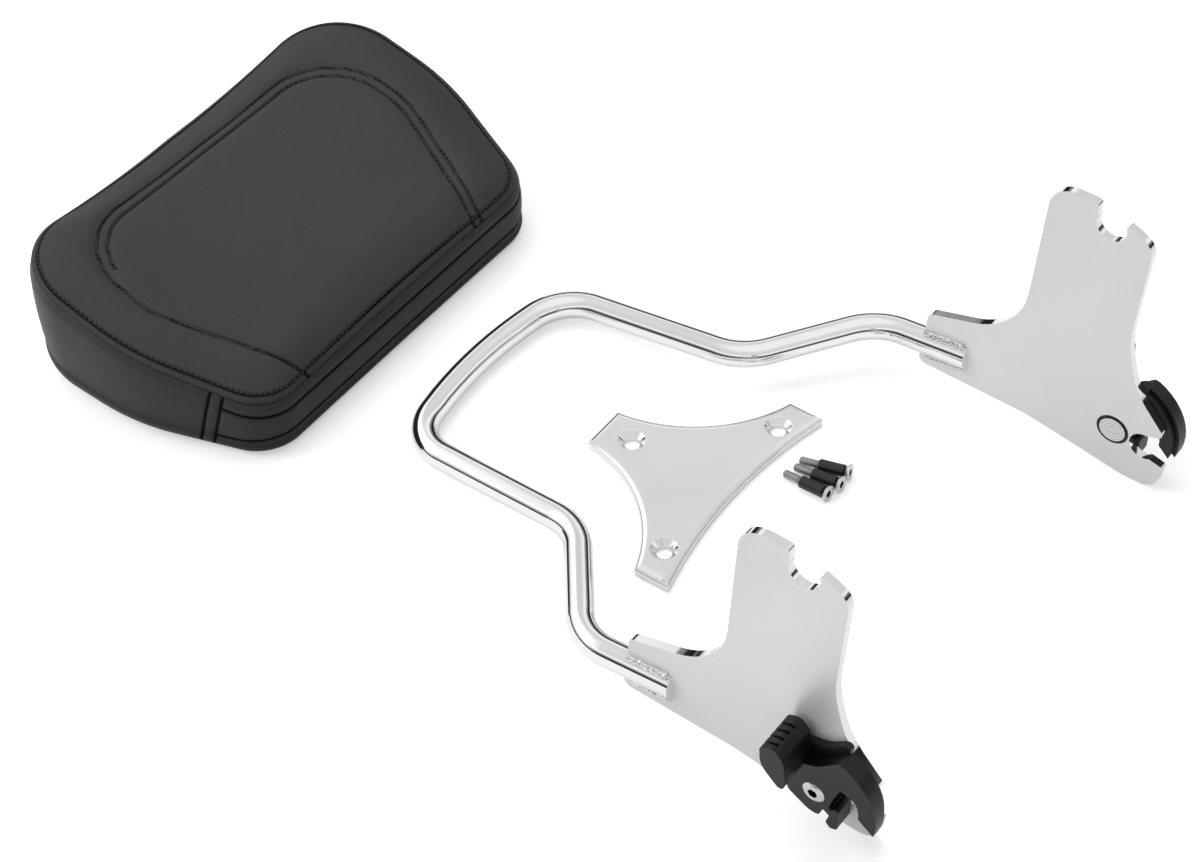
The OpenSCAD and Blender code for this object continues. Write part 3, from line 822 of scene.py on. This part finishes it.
# ---------------------------------------------------------------- pad
PAD_H, PAD_HALF, PAD_FOOT_HALF, PAD_HEAD_HALF = 181.0, 148.5, 120.0, 147.0
PAD_FOOT_T, PAD_HEAD_T, PAD_WING, PAD_CROWN = 36.0, 68.0, 18.0, 9.0
PAD_AT = Vector((-209.29, -1.9, 0.0))
# The boxing's two lines, down from the top seam and up from the floor; values that mark no seam
BOXING_HIGH, BOXING_LOW, OFF, BEHIND = 8.5, 11.0, 9.0, -90.0
SIDE_STEPS, FACE_STEPS, EDGE_ROW, SEAM_INSET = 36, 62, 4.2, 2.2
STITCH_PITCH, STITCH_L, STITCH_W = 3.3, 2.6, 0.85
# The roll of the back edge at the foot, and what it gains toward the head
ROLL_FOOT, ROLL_GAIN = 5, 14
# Where the boxing's joint stands at the floor, and its lean
JOINT_X, JOINT_LEAN = 51.0, 0.25
# Depth and width of the furrows: the face's two stitched lines, then the boxing's rows and lines
ARCH_PULL, ARCH_PULL_W, INNER_PULL, INNER_PULL_W = 1.3, 3.2, 1.0, 2.6
BOXING_PULL, ROW_PULL_W, LINE_PULL_W = 0.7, 1.5, 1.7
# How far in from the seam the crown rises and the face's furrows reach their full depth
CROWN_REACH, FURROW_REACH, PANEL_REACH, PANEL_RISE = 34.0, 12.0, 16.0, 0.5
SIDE_INSET, BELLY, TUCK, TUCK_FROM = 1.2, 1.6, 1.5, 0.86
# Every which point of a line the coarse pass for the nearest one looks at
LOOK_EVERY = 4

pad_mid = PAD_H / 2
# Corners as x, y and radius, in the pad's own frame
pad_outline = even(rounded_outline([
    (pad_mid, -PAD_FOOT_HALF, 30), (pad_mid, PAD_FOOT_HALF, 30),
    (pad_mid - PAD_H * 0.45, PAD_HALF, 140), (-pad_mid + 5, PAD_HEAD_HALF, 50),
    (-pad_mid, 0, 330), (-pad_mid + 5, -PAD_HEAD_HALF, 50),
    (pad_mid - PAD_H * 0.45, -PAD_HALF, 140),
], 3), 1.5)
arch = even(rounded_outline([
    (98, -80, 0), (46, -99, 90), (2, -116, 60), (-63, -110, 48), (-66, 0, 300),
    (-60, 112, 50), (4, 112, 70), (50, 92, 90), (98, 70, 0),
], 4, closed=False), 1.5, closed=False)


def share(p):
    return (pad_mid - p.x) / PAD_H


def seam_height(p):
    u = share(p)
    return PAD_FOOT_T + (PAD_HEAD_T - PAD_FOOT_T) * u + PAD_WING * u * (p.y / PAD_HALF) ** 2


def beside(line, distance):
    """An open line moved sideways, to its left."""
    moved = []
    for i, p in enumerate(line):
        way = (line[min(i + 1, len(line) - 1)] - line[max(i - 1, 0)]).normalized()
        moved.append(p + Vector((-way.y, way.x)) * distance)
    return moved


# The second line stops short of the foot on the near side
arch_inner = [p for p in beside(arch, -6.0) if p.y > -60 or p.x < -30]


def gap_to(line, p):
    """Distance from p to a line of closely spaced points; a coarse pass finds where to look."""
    best, at = 1e9, 0
    for i in range(0, len(line), LOOK_EVERY):
        d = (line[i] - p).length_squared
        if d < best:
            best, at = d, i
    best = 1e9
    for i in range(max(0, at - LOOK_EVERY - 1), min(len(line) - 1, at + LOOK_EVERY + 2)):
        a, b = line[i], line[i + 1]
        ab = b - a
        t = max(0.0, min(1.0, (p - a).dot(ab) / ab.length_squared))
        best = min(best, (a + ab * t - p).length)
    return best


def inside_arch(p):
    """Whether p lies within the panel that the arch goes round."""
    inside = False
    for a, b in zip(arch, arch[1:]):
        if (a.y > p.y) != (b.y > p.y):
            if p.x > a.x + (p.y - a.y) / (b.y - a.y) * (b.x - a.x):
                inside = not inside
    return inside


def ease(t):
    t = max(0.0, min(1.0, t))
    return t * t * (3 - 2 * t)


def furrow(distance, depth, width):
    """How far the cover is drawn in at a distance from a stitched line."""
    return depth * math.exp(-((distance / width) ** 2))


def face_height(p, inset):
    """Height of the upholstered face; inset is the distance in from the perimeter seam."""
    swell = math.sin(math.pi / 2 * min(1.0, inset / CROWN_REACH)) ** 0.75
    z = seam_height(p) + PAD_CROWN * swell
    outer, inner = gap_to(arch, p), gap_to(arch_inner, p)
    # The cover is drawn down along both stitched lines, and the middle panel swells a little
    pull = furrow(outer, ARCH_PULL, ARCH_PULL_W) + furrow(inner, INNER_PULL, INNER_PULL_W)
    panel = ease(inner / PANEL_REACH) if inside_arch(p) else 0.0
    return z - min(1.0, inset / FURROW_REACH) * (pull - PANEL_RISE * panel)


def build_pad():
    # Distances to the seams, kept on the points; the cover's finish turns them into the seams'
    # relief and painted shade along them
    bm = bmesh.new()
    layers = [
        bm.verts.layers.float.new(name)
        for name in ("seam_line", "boxing_joint", "boxing_upper", "boxing_lower")
    ]
    heights = [seam_height(p) for p in pad_outline]
    inward = [(-p).normalized() for p in pad_outline]

    def joint_gap(p, z):
        """How far a point lies ahead of the boxing's joint, which leans forward as it climbs."""
        return p.x - (JOINT_X + JOINT_LEAN * z)

    def roll_radius(p):
        return ROLL_FOOT + ROLL_GAIN * share(p)

    def back_ring(angle):
        spots = []
        for p in pad_outline:
            r = roll_radius(p)
            d = 1 - r * (1 - math.sin(angle)) / p.length
            z = r * (1 - math.cos(angle))
            spots.append((p.x * d, p.y * d, z, OFF, joint_gap(p, z), OFF, z - BOXING_LOW))
        return spots

    def side_ring(level):
        spots = []
        for p, top, way in zip(pad_outline, heights, inward):
            r = roll_radius(p)
            z = r + (top - r) * level
            belly = BELLY * math.sin(math.pi * level) ** 0.8
            tuck = TUCK * ease((level - TUCK_FROM) / 0.14)
            joint, upper, lower = joint_gap(p, z), z - (top - BOXING_HIGH), z - BOXING_LOW
            # The boxing is drawn in along its stitched rows and lines
            pull = furrow(abs(joint) - JOINT_HALF, BOXING_PULL, ROW_PULL_W)
            if joint > 2:
                pull += furrow(upper, BOXING_PULL, LINE_PULL_W)
                pull += furrow(lower, BOXING_PULL, LINE_PULL_W)
            d = SIDE_INSET - belly + tuck + pull
            spots.append((p.x + way.x * d, p.y + way.y * d, z, OFF, joint, upper, lower))
        return spots

    def face_ring(inset_share):
        spots = []
        for p, way in zip(pad_outline, inward):
            inset = p.length * inset_share
            q = p + way * (inset + SEAM_INSET)
            z = face_height(q, inset)
            near = min(gap_to(arch, q), gap_to(arch_inner, q), abs(inset - EDGE_ROW))
            spots.append((q.x, q.y, z, near, BEHIND, OFF, OFF))
        return spots

    rings = [back_ring(a) for a in [math.radians(7.5 * k) for k in range(13)]]
    rings += [side_ring(k / SIDE_STEPS) for k in range(1, SIDE_STEPS)]
    # The perimeter seam itself lies in a groove, and its zero seam distance paints shade along it
    rings.append([
        (p.x + w.x * 2.6, p.y + w.y * 2.6, top - 0.6, 0.0, BEHIND, OFF, OFF)
        for p, w, top in zip(pad_outline, inward, heights)
    ])
    shares = [0.004, 0.010, 0.017, 0.025, 0.034, 0.044, 0.056]
    shares += [0.056 + 0.904 * k / FACE_STEPS for k in range(1, FACE_STEPS + 1)]
    rings += [face_ring(s) for s in shares]

    ordered = [bm.verts.new(spot[:3]) for spot in rings[0]]
    bm.faces.new(ordered)
    edges = list(bm.edges)
    for k, ring in enumerate(rings):
        if k:
            ordered, edges = push_ring(bm, ordered, edges, ring)
        for vert, spot in zip(ordered, ring):
            for layer, value in zip(layers, spot[3:]):
                vert[layer] = value * MM
    cap = bmesh.ops.contextual_create(bm, geom=edges)["faces"]
    bmesh.ops.triangulate(bm, faces=cap)
    place = Matrix.Scale(MM, 4) @ Matrix.Translation(PAD_AT)
    bmesh.ops.transform(bm, matrix=place, verts=bm.verts)
    pad = piece_from(bm, "pad_cover", vinyl, "bar", sharp=75.0)
    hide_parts("pad_cushion")


build_pad()


def sew(bm, line, height_at):
    """Stitches along a line, each one a small long ellipsoid."""
    points = even(line, STITCH_PITCH, closed=False)
    for a, b in zip(points, points[1:]):
        mid = (a + b) / 2
        way = (b - a).normalized()
        za, zb = height_at(a), height_at(b)
        slope = math.atan2(zb - za, (b - a).length)
        matrix = (
            Matrix.Scale(MM, 4)
            @ Matrix.Translation((PAD_AT.x + mid.x, PAD_AT.y + mid.y, (za + zb) / 2 + 0.1))
            @ Matrix.Rotation(math.atan2(way.y, way.x), 4, "Z")
            @ Matrix.Rotation(-slope, 4, "Y")
            @ Matrix.Diagonal((STITCH_L / 2, STITCH_W / 2, STITCH_W / 2, 1))
        )
        bmesh.ops.create_uvsphere(bm, u_segments=8, v_segments=6, radius=1.0, matrix=matrix)


def build_stitches():
    bm = bmesh.new()

    def on_face(q):
        inset = gap_to(pad_outline + pad_outline[:1], q)
        return face_height(q, inset)

    for line in (arch, arch_inner):
        sew(bm, [p for p in line if p.x < pad_mid - 7.5], on_face)
    edge = [p + (-p).normalized() * (EDGE_ROW + SEAM_INSET) for p in pad_outline]
    sew(bm, edge + edge[:1], on_face)
    stitches = piece_from(bm, "pad_stitches", thread, "bar")


build_stitches()


# ---------------------------------------------------------------- floor, light and camera
def build_floor():
    bm = bmesh.new()
    bmesh.ops.create_grid(bm, x_segments=1, y_segments=1, size=6.0)
    mesh = bpy.data.meshes.new("floor")
    bm.to_mesh(mesh)
    bm.free()
    floor = bpy.data.objects.new("floor", mesh)
    floor.location.z = -0.0004
    bpy.context.scene.collection.objects.link(floor)
    f = Finish("pale_floor")
    seen = f.add("ShaderNodeLightPath", out="Is Camera Ray")
    mirrored = f.add("ShaderNodeLightPath", out="Is Glossy Ray")
    # The object's dark sides see a dimmer floor than the camera and the chrome do
    tone = f.mix(seen.most(mirrored), (0.12, 0.12, 0.12), (0.86, 0.86, 0.86))
    base = f.add("ShaderNodeBsdfDiffuse", None, {"Color": tone})
    strength = 0.42 * seen + 0.16 * mirrored
    glow = f.add("ShaderNodeEmission", None, {"Color": (1, 1, 1), "Strength": strength})
    both = f.add("ShaderNodeAddShader", None, [base, glow])
    f.tree.links.new(both.socket, f.output.inputs["Surface"])
    mesh.materials.append(f.material)


class Sky(Finish):
    """The world, built up from terms like a finish."""

    def __init__(self, name):
        world = bpy.data.worlds.new(name)
        world.use_nodes = True
        bpy.context.scene.world = world
        self.tree = world.node_tree
        self.tree.nodes.clear()
        self.output = self.tree.nodes.new("ShaderNodeOutputWorld")


def build_world():
    """Mirrors see a dark horizon, a bright band and a dip; the rest see light from the left."""
    f = Sky("studio")
    way = f.add("ShaderNodeTexCoord", out="Generated")
    x, y, z = (f.add("ShaderNodeSeparateXYZ", None, [way], out=i) for i in range(3))
    level = z + 0.06 * x - 0.03 * y
    stops = [
        (0.0, 0.012), (0.17, 0.02), (0.22, 0.22), (0.33, 0.30), (0.37, 1.0), (0.50, 1.0),
        (0.60, 0.72), (0.80, 0.78), (0.93, 1.0),
    ]
    greys = {"stops": [(at, (grey, grey, grey)) for at, grey in stops]}
    mirror = f.add("ShaderNodeValToRGB", greys, [level])
    # A glow low on the left, beside what the crown of the bar mirrors
    glow = (0.0 - x).step(0.52, 0.80) * (0.0 - y).step(-0.52, -0.34) * z.step(0.08, 0.22)
    side = (0.50 - 0.46 * x - 0.20 * y).most(0.02)
    glossy = f.add("ShaderNodeLightPath", out="Is Glossy Ray")
    colour = f.mix(glossy, side, mirror + 0.8 * glow)
    back = f.add("ShaderNodeBackground", None, {"Color": colour, "Strength": 1.0})
    f.tree.links.new(back.socket, f.output.inputs["Surface"])


def lamp(name, place, target, size, power):
    light = bpy.data.lights.new(name, "AREA")
    light.shape = "RECTANGLE"
    light.size, light.size_y = size
    light.energy = power
    holder = bpy.data.objects.new(name, light)
    holder.location = place
    way = Vector(target) - Vector(place)
    holder.rotation_euler = way.to_track_quat("-Z", "Y").to_euler()
    holder.visible_glossy = False
    bpy.context.scene.collection.objects.link(holder)


def build_camera():
    data = bpy.data.cameras.new("camera")
    data.sensor_width = 36.0
    data.lens = 81.225
    camera = bpy.data.objects.new("camera", data)
    right = Vector((0.805521, 0.592027, -0.025287))
    down = Vector((0.414905, -0.593965, -0.689246))
    forward = Vector((-0.423072, 0.544711, -0.724086))
    turn = Matrix((right, -down, -forward)).transposed().to_4x4()
    camera.matrix_world = Matrix.Translation((0.66506, -0.83272, 1.10949)) @ turn
    data.clip_start, data.clip_end = 0.05, 50
    bpy.context.scene.collection.objects.link(camera)
    bpy.context.scene.camera = camera


build_floor()
build_world()
lamp("softbox_above", (-0.5, 0.6, 1.9), (-0.05, 0, 0), (1.6, 1.6), 18)
lamp("softbox_left", (-1.6, -0.9, 1.2), (-0.1, 0, 0), (1.2, 1.0), 16)
lamp("softbox_near", (-0.3, -1.9, 1.0), (0, 0, 0), (1.0, 0.8), 3)
build_camera()
bpy.context.scene.view_settings.view_transform = "Standard"
